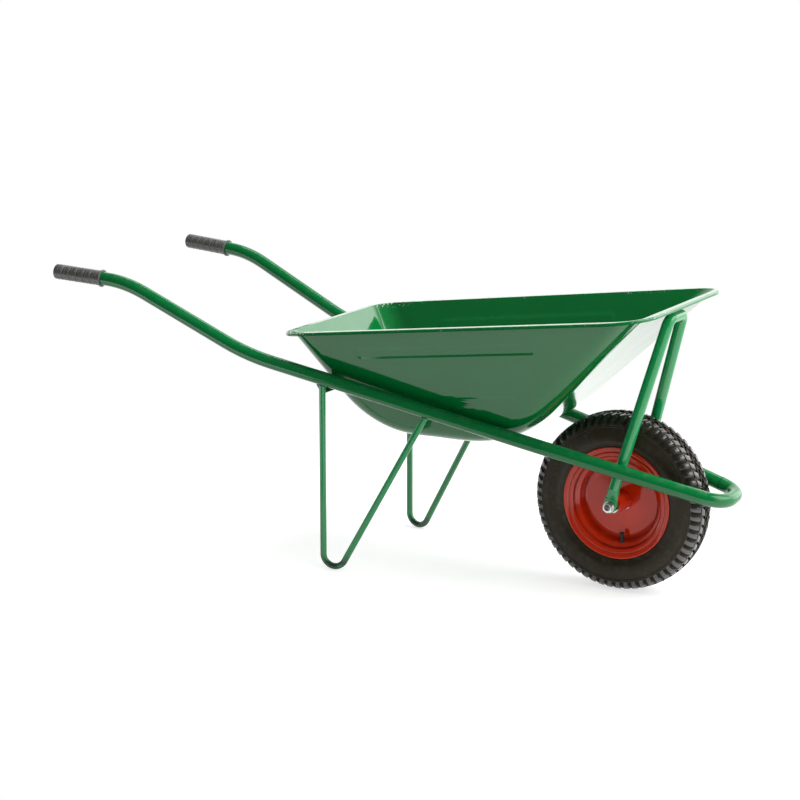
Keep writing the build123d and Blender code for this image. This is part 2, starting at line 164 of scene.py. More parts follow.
class BarrowTyre(bpy.types.PropertyGroup):
    """Tread and side wall of the tyre."""

    radius: length("Radius", "Outside of the tread", 0.190)
    half_width: length("Half width", "Widest point of the side wall", 0.0428)
    pitches: count("Pitches", "Tread blocks round one side", 60, 8)
    lug_height: length("Lug height", "Depth of the tread grooves", 0.0032)
    cap_radius: length("Cap radius", "Valve cap over its ribs", 0.0049)
    cap_length: length("Cap length", "Valve cap", 0.009)
    cap_groove: length("Cap groove", "Depth of the grooves between the cap's ribs", 0.0004)
    segments: count("Segments", "Steps round the turned body", 216, 24)


class BarrowGrip(bpy.types.PropertyGroup):
    """Ribbed rubber sleeve on each handle."""

    body_radius: length("Body radius", "Between the ribs", 0.0165)
    rib_radius: length("Rib radius", "Over the ribs", 0.0170)
    rib_sink: length("Rib sink", "How deep a rib's centre line lies in the body", 0.0003)
    collar_radius: length("Collar radius", "Stop for the hand", 0.0193)
    bore_radius: length("Bore radius", "Inside, on the tube", 0.01506)
    inner_reach: length("Inner reach", "From the middle of the barrel to the collar's face", 0.06125)
    outer_reach: length("Outer reach", "From the middle of the barrel to the closed end", 0.05975)
    end_zone: length("End zone", "At each end, without ribs", 0.0060)
    rib_pitch: length("Rib pitch", "From rib to rib", 0.0085)
    rib_room: length("Rib room", "Part of a band that its groove takes", 0.0045)
    bands: count("Bands", "Ribbed bands between the deep grooves", 6, 1)
    groove_depth: length("Groove depth", "Deep grooves between the bands", 0.0010)
    groove_top: length("Groove top", "Half width of a deep groove at its top", 0.0019)
    groove_floor: length("Groove floor", "Half width of a deep groove at its floor", 0.0011)


class BarrowFrame(bpy.types.PropertyGroup):
    """Places of the welds, and the tube joint in the nose bow."""

    rail_rear: place("Rail rear", "Rear end of the left rail's lower run", (-0.285764, 0.2174, 0.460))
    rail_front: place("Rail front", "Front end of the left rail's lower run", (0.383236, 0.1241, 0.311))
    nose_corner: place("Nose corner", "Corner of the nose bow on the left", (0.747236, 0.0505, 0.224))
    rail_radius: length("Rail radius", "Outside of the frame tube", 0.015)
    leg_rear_x: length("Leg rear", "Where the upright meets the rail", -0.111764)
    leg_slant: angle("Leg slant", "Between the leg's upright and its stay", 29.0)
    leg_foot_radius: length("Foot radius", "Centre line of the foot's bend", 0.026)
    leg_radius: length("Leg radius", "Round bar of the legs", 0.007)
    bar_width: length("Bar width", "Rear cross bar, across", 0.025)
    bar_thickness: length("Bar thickness", "Rear cross bar, through", 0.005)
    bar_lean: angle("Bar lean", "How far the cross bar leans back with the tray's wall", 34.1)
    hoop_radius: length("Hoop radius", "Outside of the front hoop's tube", 0.012)
    hoop_top: place("Hoop top", "Left corner of the hoop's top", (0.6145, 0.036, 0.590))
    front_lean: angle("Front lean", "Tray's front wall over the ground", 44.56)
    rim_rear: place("Rim rear", "Rear edge of the tray's rim", (-0.210764, 0.0, 0.5126))
    rim_rise: number("Rim rise", "Slope of the rim towards the front", 0.12518)
    bead_radius: length("Weld radius", "Half width of a weld bead", 0.0024)
    ripple: length("Weld ripple", "Length of one ripple of the bead", 0.0026)
    crevice_depth: length("Crevice depth", "How far the hoop's beads lie below its outside", 0.0020)
    crevice_reach: length("Crevice reach", "From the hoop's centre line up or down to a bead", 0.0068)
    touch_radius: length("Touch radius", "Bead round the spot where hoop and rail touch", 0.0075)
    seam_x: length("Seam", "Where the nose bow is joined to the left rail", 0.7016)


class BarrowHardware(bpy.types.PropertyGroup):
    """Axle, nuts and the tray's bolts."""

    axle_radius: length("Axle radius", "Outside of the axle", 0.006)
    axle_chamfer: length("Axle chamfer", "At the ends of the axle", 0.0011)
    thread_pitch: length("Thread pitch", "From crest to crest", 0.0015)
    thread_depth: length("Thread depth", "From crest to root", 0.0008)
    thread_length: length("Thread length", "Threaded end of the axle", 0.021)
    nut_flats: length("Axle nut", "Across the flats", 0.019)
    nut_height: length("Axle nut height", "Thickness of the nut", 0.008)
    nut_gap: length("Axle nut gap", "Between the nut and the axle", 0.0001)
    tray_nut_flats: length("Tray nut", "Across the flats", 0.013)
    tray_nut_height: length("Tray nut height", "Thickness of the nut", 0.0065)
    bolt_radius: length("Bolt radius", "Tray bolts, with their clearance", 0.0042)
    bolt_spacing: length("Bolt spacing", "Between the two tray bolts", 0.200)


class BarrowStage(bpy.types.PropertyGroup):
    """Camera, floor and light."""

    camera_place: place("Camera", "Where the camera stands", (2.32325, -4.2083, 1.4271))
    camera_tilt: angle("Tilt", "Camera from straight down", 77.35)
    camera_turn: angle("Turn", "Camera about the vertical", 29.21)
    lens: focal("Lens", "Focal length", 101.27)
    sensor: focal("Sensor", "Width of the picture in the camera", 36.0)
    view_end: length("View end", "How far the camera sees", 400.0)
    floor_size: length("Floor", "Half width of the floor", 90.0)
    floor_colour: colour("Floor", "Pale studio floor", (0.60, 0.60, 0.595))
    floor_lift: number("Floor lift", "Light added to the floor for the camera", 0.64)
    floor_near: length("Shadow reach", "Round the barrow, where the floor keeps its shadow", 0.80)
    floor_far: length("White from", "Where the floor has gone over to plain white", 1.60)
    floor_mirrored: number("Floor in gloss", "Light added to the floor as gloss sees it", 1.30)
    left_end: span("Left end", "Lengthwise, where the light on the left ends", (-0.54, -0.40))
    left_depth: span("Left depth", "Towards the camera, for the light on the left", (0.40, 0.85))
    right_start: span("Right start", "Lengthwise, for the light on the right", (0.45, 0.85))
    right_share: number("Right share", "Of the light added on the left", 0.55)
    rear_depth: span("Rear depth", "Away from the camera, for the light behind", (0.0, 0.5))
    rear_share: number("Rear share", "Of the light added on the left", 0.37)
    floor_front: length("Front edge", "Towards the camera, where gloss sees the pale floor end", 0.72)
    floor_fade: length("Front fade", "Over which the pale floor ends", 0.10)
    floor_slant: length("Front slant", "How much further it reaches in front of the wheel", 1.20)
    slant_start: span("Slant start", "Lengthwise, where it reaches further", (0.0, 0.7))
    key_power: number("Key", "Large lamp on the right", 80.0)
    top_power: number("Top", "Large lamp overhead", 60.0)
    fill_power: number("Fill", "Weaker lamp beside the camera", 14.0)
    right_power: number("Right", "Low lamp on the right, for strut and nose", 16.0)
    left_power: number("Left", "Low lamp on the left, for the legs", 2.5)
    strip_power: number("Strip", "Narrow lamp overhead that draws lines on the tubes", 14.0)
    sky_back: number("Back light", "Backdrop behind the object", 0.85)
    sky_mirrored: number("Backdrop in gloss", "Light added to the backdrop as gloss sees it", 0.85)
    behind_from: span("Behind", "Share of a direction that points away from the camera", (-0.05, 0.50))
    right_from: span("To the right", "Share of a direction that points right", (0.25, 0.75))
    window: number("Window light", "Brightest part of the backdrop, as gloss sees it", 1.9)
    window_way: place("Window", "Direction of the brightest part of the backdrop", (0.417, 0.852, 0.300))
    window_from: span("Window edge", "Cosine of the angle to that direction", (0.88, 0.96))
    sky_front: number("Front light", "Room behind the camera", 0.10)
    sky_top: number("Top light", "Ceiling", 0.12)
    top_from: span("Ceiling edge", "Share of a direction that points up", (0.55, 0.85))


GROUPS = {
    "barrow_colours": BarrowColours,
    "barrow_tyre": BarrowTyre,
    "barrow_grip": BarrowGrip,
    "barrow_frame": BarrowFrame,
    "barrow_hardware": BarrowHardware,
    "barrow_stage": BarrowStage,
}

# Lamps: name, place, width and height, and whether gloss shows the lamp
LAMPS = (
    ("key", (3.0, 0.6, 2.6), (2.6, 2.4), True),
    ("top", (1.1, 0.0, 3.2), (2.4, 2.2), False),
    ("fill", (2.0, -3.0, 1.7), (2.2, 1.6), False),
    ("right", (3.2, -0.9, 0.8), (1.6, 1.2), False),
    ("left", (-2.6, -1.6, 0.8), (1.6, 1.2), False),
    ("strip", (-0.3, 1.2, 2.6), (2.4, 0.25), True),
)

# Grooves of the rim, darkened as painted shade: radius, half width and strength of the shade
RIM_GROOVES = ((0.0840, 0.0085, 0.50), (0.0985, 0.0034, 0.65), (0.1084, 0.0026, 0.60))

# Index of refraction of gloss paint
PAINT_IOR = 1.56


# Sums in node trees, and the finishes


def both_ways(operation):
    """An operator between a field and a field or number, and its reflected form."""
    return (
        lambda field, other: field.maths(operation, field, other),
        lambda field, other: field.maths(operation, other, field),
    )


class Field:
    """One output in a node tree. Arithmetic on it adds Math nodes."""

    __add__, __radd__ = both_ways("ADD")
    __sub__, __rsub__ = both_ways("SUBTRACT")
    __mul__, __rmul__ = both_ways("MULTIPLY")
    __truediv__, __rtruediv__ = both_ways("DIVIDE")

    def __init__(self, tree, socket=None):
        self.tree = tree
        self.socket = socket

    def feed(self, node, sockets):
        """Links fields to the sockets of a node and sets its constants."""
        for key, value in sockets.items():
            if isinstance(value, Field):
                self.tree.links.new(value.socket, node.inputs[key])
            else:
                node.inputs[key].default_value = value

    def node(self, kind, settings=None, sockets=None, out=0):
        """Adds a node: its settings first, then the values or links of its sockets."""
        made = self.tree.nodes.new(kind)
        for name, value in (settings or {}).items():
            setattr(made, name, value)
        self.feed(made, sockets or {})
        return Field(self.tree, made.outputs[out])

    def beside(self, output):
        """Another output of the same node."""
        return Field(self.tree, self.socket.node.outputs[output])

    def maths(self, operation, *values):
        """One Math node on numbers and fields."""
        return self.node("ShaderNodeMath", {"operation": operation}, dict(enumerate(values)))

    def most(self, other):
        """The larger of two fields."""
        return self.maths("MAXIMUM", self, other)

    def magnitude(self):
        """The value without its sign."""
        return self.maths("ABSOLUTE", self)

    def over(self, low, high):
        """0 below low, 1 above high, smooth between."""
        sockets = {"Value": self, "From Min": low, "From Max": high}
        return self.node("ShaderNodeMapRange", {"interpolation_type": "SMOOTHSTEP"}, sockets)

    def tint(self, low, high):
        """A colour between two colours, by this field."""
        return self.node("ShaderNodeMix", {"data_type": "RGBA"}, {0: self, 6: low, 7: high}, out=2)

    def where(self):
        """The object's own coordinates."""
        return self.node("ShaderNodeTexCoord", out=3)

    def split(self, vector):
        """The three parts of a vector."""
        first = self.node("ShaderNodeSeparateXYZ", None, {0: vector})
        return first, first.beside(1), first.beside(2)

    def noise(self, scale, detail=2.0, roughness=0.5):
        """Soft noise on the object's own coordinates."""
        sockets = {"Vector": self.where(), "Scale": scale, "Detail": detail, "Roughness": roughness}
        return self.node("ShaderNodeTexNoise", None, sockets)

    def cells(self, scale):
        """Random value for each cell on the object's own coordinates."""
        shade = self.node("ShaderNodeTexVoronoi", None, {"Vector": self.where(), "Scale": scale}, out=1)
        return self.node("ShaderNodeSeparateColor", None, {0: shade})

    def facing_up(self):
        """1 on faces that look up, 0 on those that look down or sideways."""
        return self.split(self.node("ShaderNodeNewGeometry", out=1))[2].over(0.25, 0.95)

    def nicks(self, edge):
        """Chips along a tilted edge, given by its rear x and z and its rise, larger at the rear corners."""
        rear_x, rear_z, rise = edge
        x, y, z = self.split(self.where())
        below = z - (x - rear_x) * rise - rear_z
        corner = y.magnitude().over(0.165, 0.195) * (1.0 - x.over(rear_x + 0.04, rear_x + 0.10))
        knocks = self.noise(190.0, 2.0).over(0.57, 0.62) * corner * below.over(-0.012, -0.006)
        chips = self.noise(330.0, 1.0).over(0.66, 0.70) * self.noise(23.0, 2.0).over(0.48, 0.60)
        return (chips * below.over(-0.0062, -0.0030)).most(knocks)

    def rings(self, grooves):
        """Painted shade in ring-shaped grooves round the axle, each given by radius, half width and
        strength.
        """
        x, _, z = self.split(self.where())
        across, up = x - AXLE.x, z - AXLE.z
        out = self.maths("SQRT", across * across + up * up)
        painted_shade_level = None
        for radius, half, strength in grooves:
            inside = (1.0 - (out - radius).magnitude().over(0.0, half)) * strength
            painted_shade_level = painted_shade_level.most(inside) if painted_shade_level else inside
        return painted_shade_level * (0.4 + self.noise(16.0, 3.0).over(0.36, 0.62) * 0.6)

    def bump(self, depth, distance, normal=None):
        """Relief that feeds the shader's normal."""
        sockets = {"Height": depth, "Strength": 1.0, "Distance": distance}
        if normal:
            sockets["Normal"] = normal
        return self.node("ShaderNodeBump", None, sockets)


def rgba(values, level=1.0):
    """A colour with its alpha, made darker or lighter."""
    return (*[min(1.0, channel * level) for channel in values], 1.0)


def finish_of(name):
    """A new node material: its tree as a field, its shader node and the material."""
    material = bpy.data.materials.new(name)
    material.use_nodes = True
    return Field(material.node_tree), material.node_tree.nodes["Principled BSDF"], material


def gloss_paint(name, base, tones, wave=0.0, splash=0.05, shine=0.5, edge=None, grooves=None):
    """Sprayed gloss paint: uneven film, orange peel, dust, scuffs up to the splash height, chips, dirt near
    the ground and painted shade in the given grooves.
    """
    tree, shader, material = finish_of(name)
    film = tree.noise(7.0, 3.0)
    peel = tree.noise(420.0, 1.0)
    settled = tree.noise(55.0, 3.0, 0.65).over(0.42, 0.80) * tree.facing_up()
    specks = tree.noise(310.0, 2.0).over(0.735, 0.76) * tree.noise(26.0, 2.0).over(0.52, 0.62)
    height = tree.split(tree.where())[2]
    scuffs = tree.noise(160.0, 5.0, 0.7).over(0.53, 0.60) * (1.0 - height.over(0.004, splash))
    grime = tree.noise(45.0, 3.0).over(0.38, 0.55) * (1.0 - height.over(splash * 0.3, splash * 0.8))
    bare = specks.most(scuffs)
    colour_map = film.tint(rgba(base, 0.90), rgba(base, 1.10))
    colour_map = (settled * 0.10).tint(colour_map, rgba(tones.dust))
    colour_map = (bare * 0.85).tint(colour_map, rgba(tones.bare_steel))
    colour_map = (grime * 0.85).tint(colour_map, rgba(tones.grime))
    if edge:
        chips = tree.nicks(edge)
        colour_map = chips.tint(colour_map, rgba(tones.chip))
        bare = bare.most(chips)
    if grooves:
        # Painted shade: darkens the rim's grooves towards a dark red.
        colour_map = tree.rings(grooves).tint(colour_map, rgba(tones.groove_shade))
    rough = 0.060 + film * 0.04 + settled * 0.22 + bare * 0.35
    relief = tree.bump(tree.noise(9.0, 1.0), wave) if wave else None
    relief = tree.bump(peel - bare * 0.8, 0.000005, relief)
    tree.feed(shader, {"Base Color": colour_map, "Roughness": rough, "Normal": relief})
    tree.feed(shader, {"IOR": PAINT_IOR, "Specular IOR Level": shine})
    return material


def moulded_rubber(name, base, dust, rough, grain, dusty, shine=0.25):
    """Moulded rubber: fine grain, grey bloom and smears of dust."""
    tree, shader, material = finish_of(name)
    bloom = tree.noise(18.0, 5.0, 0.6)
    grit = tree.noise(900.0, 2.0)
    smears = tree.noise(60.0, 3.0, 0.7).over(0.46, 0.78)
    colour_map = bloom.tint(rgba(base, 0.75), rgba(base, 1.35))
    colour_map = (smears * dusty).tint(colour_map, rgba(dust, 0.7))
    roughness = rough + bloom * 0.16 - 0.08 + smears * 0.10
    relief = tree.bump(grit + bloom * 0.6, grain)
    tree.feed(shader, {"Base Color": colour_map, "Roughness": roughness, "Normal": relief})
    tree.feed(shader, {"Specular IOR Level": shine})
    return material


def plated_steel(name, base, rough, spangle):
    """Plated or ground steel: small spangles, faint stains and fine scratches."""
    tree, shader, material = finish_of(name)
    flakes = tree.cells(spangle)
    stains = tree.noise(120.0, 5.0, 0.6).over(0.40, 0.85)
    lines = tree.noise(1500.0, 1.0)
    colour_map = flakes.tint(rgba(base, 0.86), rgba(base, 1.08))
    colour_map = (stains * 0.45).tint(colour_map, rgba(base, 0.50))
    roughness = rough + flakes * 0.08 + stains * 0.18
    relief = tree.bump(lines + stains * 0.5, 0.00004)
    tree.feed(shader, {"Base Color": colour_map, "Roughness": roughness, "Normal": relief})
    tree.feed(shader, {"Metallic": 1.0})
    return material


# Mesh tools


def plain_mesh(name, points, edges, faces):
    """A mesh from its points, edges and faces."""
    mesh = bpy.data.meshes.new(name)
    mesh.from_pydata(points, edges, faces)
    return mesh


def mesh_piece(name, mesh, material):
    """An object at the origin that holds a finished mesh."""
    piece = bpy.data.objects.new(name, mesh)
    bpy.context.scene.collection.objects.link(piece)
    mesh.materials.clear()
    mesh.materials.append(material)
    return piece


def close_up(mesh, smooth_angle=radians(32.0)):
    """Merges doubles, turns the faces outwards and shades smooth up to an angle."""
    shell = bmesh.new()
    shell.from_mesh(mesh)
    bmesh.ops.remove_doubles(shell, verts=shell.verts, dist=1e-6)
    bmesh.ops.recalc_face_normals(shell, faces=shell.faces)
    shell.to_mesh(mesh)
    shell.free()
    mesh.shade_smooth()
    mesh.set_sharp_from_angle(angle=smooth_angle)
    return mesh


def spun(name, sections, to_world):
    """Joins a ring of sections, (radius, along) points about the Z axis, and moves it to its place."""
    steps = len(sections)
    rings = len(sections[0])
    points = []
    faces = []
    for step, section in enumerate(sections):
        turn = 2.0 * pi * step / steps
        for radius, along in section:
            points.append(to_world @ Vector((radius * cos(turn), radius * sin(turn), along)))
        after = (step + 1) % steps
        for ring in range(rings - 1):
            low, high = step * rings + ring, after * rings + ring
            faces.append((low, high, high + 1, low + 1))
    mesh = plain_mesh(name, points, [], faces)
    mesh.validate()
    return close_up(mesh)


def turned(name, outline, steps, to_world):
    """Turns one outline about the Z axis and moves the result to its place."""
    return spun(name, [outline] * steps, to_world)


def hexagon_nut(name, flats, height, bore, to_world):
    """Hexagon nut with chamfered corners and a countersunk bore."""
    face = flats / 2 * 0.97
    half = height / 2
    sink = 0.0007
    slope = tan(radians(30.0))
    steps = 72
    sections = []
    for step in range(steps):
        turn = (2.0 * pi * step / steps + pi / 6) % (pi / 3) - pi / 6
        corner = flats / 2 / cos(turn)
        cut = (corner - face) * slope
        upper = [(corner, half - cut), (face, half), (bore + sink, half), (bore, half - sink)]
        lower = [(radius, -along) for radius, along in reversed(upper)]
        sections.append([*lower, *upper, lower[0]])
    return spun(name, sections, to_world)


def joined(name, meshes):
    """One mesh from several."""
    whole = bmesh.new()
    for mesh in meshes:
        whole.from_mesh(mesh)
    mesh = bpy.data.meshes.new(name)
    whole.to_mesh(mesh)
    whole.free()
    return mesh


def along_axis(centre, axis):
    """Turns Z to an axis and moves the origin to a centre."""
    return Matrix.Translation(centre) @ Vector(axis).to_track_quat("Z", "Y").to_matrix().to_4x4()


def dress(names, material):
    """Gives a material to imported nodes."""
    for name in names:
        NODES[name].data.materials.clear()
        NODES[name].data.materials.append(material)


def rides(name, mesh, material, body, slot, *replaced):
    """Makes a piece of a finished mesh and hands it to its body."""
    piece = mesh_piece(name, mesh, material)
    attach(piece, body)
    if replaced:
        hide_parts(*replaced)


# Node trees for what repeats


class Nodes:
    """A geometry node tree with named inputs, built up from fields."""

    def __init__(self, name, inputs):
        self.tree = bpy.data.node_groups.new(name, "GeometryNodeTree")
        self.tree.interface.new_socket("Geometry", in_out="OUTPUT", socket_type="NodeSocketGeometry")
        self.ids = {}
        for label, kind in inputs.items():
            made = self.tree.interface.new_socket(label, in_out="INPUT", socket_type=f"NodeSocket{kind}")
            self.ids[label] = made.identifier
        outputs = self.tree.nodes.new("NodeGroupInput").outputs
        self.given = {label: Field(self.tree, outputs[label]) for label in inputs}
        self.node = Field(self.tree).node

    def circle(self, steps, radius):
        """A round curve."""
        sockets = {"Resolution": steps, "Radius": radius}
        return self.node("GeometryNodeCurvePrimitiveCircle", None, sockets)

    def swept(self, curve, section, more=None):
        """A section swept along a curve and shaded smooth."""
        sockets = {"Curve": curve, "Profile Curve": section, **(more or {})}
        mesh = self.node("GeometryNodeCurveToMesh", None, sockets)
        return self.node("GeometryNodeSetShadeSmooth", None, {"Geometry": mesh})

    def copies(self, spots, shape, rotation):
        """A shape on every spot."""
        sockets = {"Points": spots, "Instance": shape, "Rotation": rotation}
        return self.node("GeometryNodeInstanceOnPoints", None, sockets)

    def end(self, geometry):
        """Realizes the instances, sets the material and closes the tree."""
        solid = self.node("GeometryNodeRealizeInstances", None, {0: geometry})
        sockets = {"Geometry": solid, "Material": self.given["Material"]}
        painted = self.node("GeometryNodeSetMaterial", None, sockets)
        painted.feed(self.tree.nodes.new("NodeGroupOutput"), {0: painted})
        return self

    def bake(self, name, values, start=None):
        """Runs the tree on a start mesh and returns its result as a plain mesh."""
        carrier = bpy.data.objects.new(name, start or bpy.data.meshes.new(name))
        bpy.context.scene.collection.objects.link(carrier)
        step = carrier.modifiers.new("Nodes", "NODES")
        step.node_group = self.tree
        for label, value in values.items():
            step[self.ids[label]] = value
        bpy.context.view_layer.update()
        graph = bpy.context.evaluated_depsgraph_get()
        mesh = bpy.data.meshes.new_from_object(carrier.evaluated_get(graph))
        carrier.modifiers.remove(step)
        bpy.data.objects.remove(carrier)
        mesh.name = name
        return mesh


def ring_of_shapes():
    """Node tree: copies of a shape turned round the wheel's axle."""
    tree = Nodes("ring_of_shapes", {
        "Shape": "Object", "Count": "Int", "Axle": "Vector", "Start": "Float", "Material": "Material",
    })
    given = tree.given
    spots = tree.node("GeometryNodePoints", None, {"Count": given["Count"]})
    turn = tree.node("GeometryNodeInputIndex") / given["Count"] * (2.0 * pi) + given["Start"]
    rotation = tree.node("ShaderNodeCombineXYZ", None, {"Y": turn})
    shape = tree.node("GeometryNodeObjectInfo", None, {"Object": given["Shape"]}, out=4)
    sockets = {"Geometry": tree.copies(spots, shape, rotation), "Translation": given["Axle"]}
    return tree.end(tree.node("GeometryNodeTransform", None, sockets))


def row_of_rings():
    """Node tree: round ribs in bands along a grip."""
    tree = Nodes("row_of_rings", {
        "Ribs": "Int", "Ribs in a band": "Int", "Pitch": "Float", "Band pitch": "Float",
        "Radius": "Float", "Rib radius": "Float", "Start": "Vector", "Axis": "Vector",
        "Turn": "Rotation", "Material": "Material",
    })
    given = tree.given
    index = tree.node("GeometryNodeInputIndex")
    step = index.maths("FLOORED_MODULO", index, given["Ribs in a band"])
    band = index.maths("FLOOR", index / given["Ribs in a band"])
    far = step * given["Pitch"] + band * given["Band pitch"]
    run = tree.node("ShaderNodeVectorMath", {"operation": "SCALE"}, {0: given["Axis"], "Scale": far})
    spot = tree.node("ShaderNodeVectorMath", {"operation": "ADD"}, {0: given["Start"], 1: run})
    spots = tree.node("GeometryNodePoints", None, {"Count": given["Ribs"], "Position": spot})
    rib = tree.swept(tree.circle(40, given["Radius"]), tree.circle(6, given["Rib radius"]))
    return tree.end(tree.copies(spots, rib, given["Turn"]))


def weld_bead():
    """Node tree: a rippled bead swept along the edges of a path."""
    tree = Nodes("weld_bead", {
        "Geometry": "Geometry", "Radius": "Float", "Ripple": "Float", "Material": "Material",
    })
    given = tree.given
    path = tree.node("GeometryNodeMeshToCurve", None, {0: given["Geometry"]})
    sockets = {"Curve": path, "Length": given["Ripple"] / 4.0}
    even = tree.node("GeometryNodeResampleCurve", {"mode": "LENGTH"}, sockets)
    along = tree.node("GeometryNodeSplineParameter", out=1)
    swell = along.maths("SINE", along / given["Ripple"] * (2.0 * pi))
    spot = tree.node("GeometryNodeInputPosition")
    noise = tree.node("ShaderNodeTexNoise", None, {"Vector": spot, "Scale": 160.0})
    level = swell * 0.09 + (noise * 0.5 + 0.75)
    sized = tree.node("GeometryNodeSetCurveRadius", None, {"Curve": even, "Radius": level})
    section = tree.circle(10, given["Radius"])
    return tree.end(tree.swept(sized, section, {"Fill Caps": True, "Scale": level}))


# Pieces


class BARROW_OT_stage(bpy.types.Operator):
    """Camera, floor, world and lamps"""

    bl_idname = "barrow.stage"
    bl_label = "Stage"

    def execute(self, context):
        sizes = context.scene.barrow_stage
        context.scene.view_settings.view_transform = "Standard"
        self.camera(context, sizes)
        self.floor(sizes)
        self.world(context, sizes)
        for name, spot, size, mirrored in LAMPS:
            self.lamp(f"{name}_lamp", getattr(sizes, f"{name}_power"), spot, size, mirrored)
        return {"FINISHED"}

    def camera(self, context, sizes):
        """The photograph's point of view."""
        lens = bpy.data.cameras.new("photo_camera")
        lens.lens = sizes.lens
        lens.sensor_width = sizes.sensor
        lens.clip_end = sizes.view_end
        camera = bpy.data.objects.new("photo_camera", lens)
        camera.location = sizes.camera_place
        camera.rotation_euler = (sizes.camera_tilt, 0.0, sizes.camera_turn)
        context.scene.collection.objects.link(camera)
        context.scene.camera = camera

    def floor(self, sizes):
        """Pale floor that keeps the shadow and reads white to the camera."""
        tree, shader, material = finish_of("studio_floor")
        patches = tree.noise(0.9, 3.0)
        tone = patches.tint(rgba(sizes.floor_colour, 0.985), rgba(sizes.floor_colour, 1.015))
        tree.feed(shader, {"Base Color": tone, "Roughness": 0.75, "Specular IOR Level": 0.15})
        paths = tree.node("ShaderNodeLightPath")
        glossy = paths.beside("Is Glossy Ray")
        seen = paths.most(glossy).most(paths.beside("Is Transmission Ray"))
        where = tree.where()
        along, aside, _ = tree.split(where)
        forward = aside * -1.0
        left = 1.0 - along.over(*sizes.left_end)
        zone = (left * forward.over(*sizes.left_depth)).most(
            along.over(*sizes.right_start) * sizes.right_share
        ).most(aside.over(*sizes.rear_depth) * sizes.rear_share)
        mirrored = glossy * sizes.floor_mirrored * zone
        glow = self.light(tree, seen * sizes.floor_lift + mirrored)
        lit = tree.node("ShaderNodeAddShader", None, {0: Field(tree.tree, shader.outputs[0]), 1: glow})
        away = tree.node("ShaderNodeVectorMath", {"operation": "LENGTH"}, {0: where}, out=1)
        share = away.over(sizes.floor_near, sizes.floor_far) * seen
        white = self.light(tree, 1.0 + mirrored)
        blend = tree.node("ShaderNodeMixShader", None, {0: share, 1: lit, 2: white})
        reach = forward - along.over(*sizes.slant_start).most(left) * sizes.floor_slant
        room = reach.over(sizes.floor_front, sizes.floor_front + sizes.floor_fade) * glossy
        dark = self.light(tree, sizes.sky_front)
        blend = tree.node("ShaderNodeMixShader", None, {0: room, 1: blend, 2: dark})
        tree.feed(tree.tree.nodes["Material Output"], {"Surface": blend})
        material.cycles.emission_sampling = "NONE"
        half = sizes.floor_size
        corners = [(-half, -half, 0), (half, -half, 0), (half, half, 0), (-half, half, 0)]
        mesh_piece("floor", plain_mesh("floor", corners, [], [(0, 1, 2, 3)]), material)

    def light(self, tree, strength):
        """White light of a given strength."""
        return tree.node("ShaderNodeEmission", None, {"Strength": strength})

    def world(self, context, sizes):
        """White backdrop behind and to the right, a dim ceiling and a dim room behind the camera."""
        world = bpy.data.worlds.new("studio")
        world.use_nodes = True
        context.scene.world = world
        tree = Field(world.node_tree)
        way = tree.node("ShaderNodeTexCoord")
        along, aside, up = tree.split(way)
        turn = sizes.camera_turn
        behind = (aside * cos(turn) - along * sin(turn)).over(*sizes.behind_from)
        right = (along * cos(turn) + aside * sin(turn)).over(*sizes.right_from)
        paths = tree.node("ShaderNodeLightPath")
        glossy = paths.beside("Is Glossy Ray")
        backdrop = sizes.sky_back - sizes.sky_front + glossy * sizes.sky_mirrored
        sockets = {0: way, 1: sizes.window_way}
        towards = tree.node("ShaderNodeVectorMath", {"operation": "DOT_PRODUCT"}, sockets, out=1)
        window = glossy * towards.over(*sizes.window_from) * sizes.window
        level = sizes.sky_front + behind.most(right) * backdrop + window
        level = level + up.over(*sizes.top_from) * (sizes.sky_top - level)
        level = level + paths * (1.0 - level)
        tree.feed(world.node_tree.nodes["Background"], {"Strength": level, "Color": (1.0, 1.0, 1.0, 1.0)})

    def lamp(self, name, power, spot, size, mirrored):
        """One soft lamp that looks at the barrow, seen in gloss or not."""
        light = bpy.data.lights.new(name, "AREA")
        light.shape = "RECTANGLE"
        light.size, light.size_y = size
        light.energy = power
        lamp = bpy.data.objects.new(name, light)
        lamp.location = spot
        lamp.visible_glossy = mirrored
        middle = (CAD_LOW + CAD_HIGH) / 2
        lamp.rotation_euler = (middle - Vector(spot)).to_track_quat("-Z", "Y").to_euler()
        bpy.context.scene.collection.objects.link(lamp)


class BARROW_OT_paint(bpy.types.Operator):
    """Green frame and tray, red rim"""

    bl_idname = "barrow.paint"
    bl_label = "Paint"

    def execute(self, context):
        tones = context.scene.barrow_colours
        sizes = context.scene.barrow_frame
        edge = (sizes.rim_rear[0], sizes.rim_rear[2], sizes.rim_rise)
        green = gloss_paint("frame_paint", tones.frame_green, tones, shine=0.36)
        # Painted light: legs and hoop get a lighter copy of the green paint in place of more light on them.
        painted_light_green = gloss_paint("stay_paint", tones.stay_lit_green, tones)
        sheet_green = gloss_paint("tray_paint", tones.tray_green, tones, wave=0.0012, edge=edge)
        red = gloss_paint(
            "rim_paint", tones.rim_red, tones, splash=0.005, shine=0.34, grooves=RIM_GROOVES
        )
        dress(("right_rail", "left_rail", "rear_cross_bar"), green)
        dress(("right_leg", "left_leg", "front_hoop"), painted_light_green)
        dress(("tray",), sheet_green)
        dress(("hub_tube",), red)
        return {"FINISHED"}


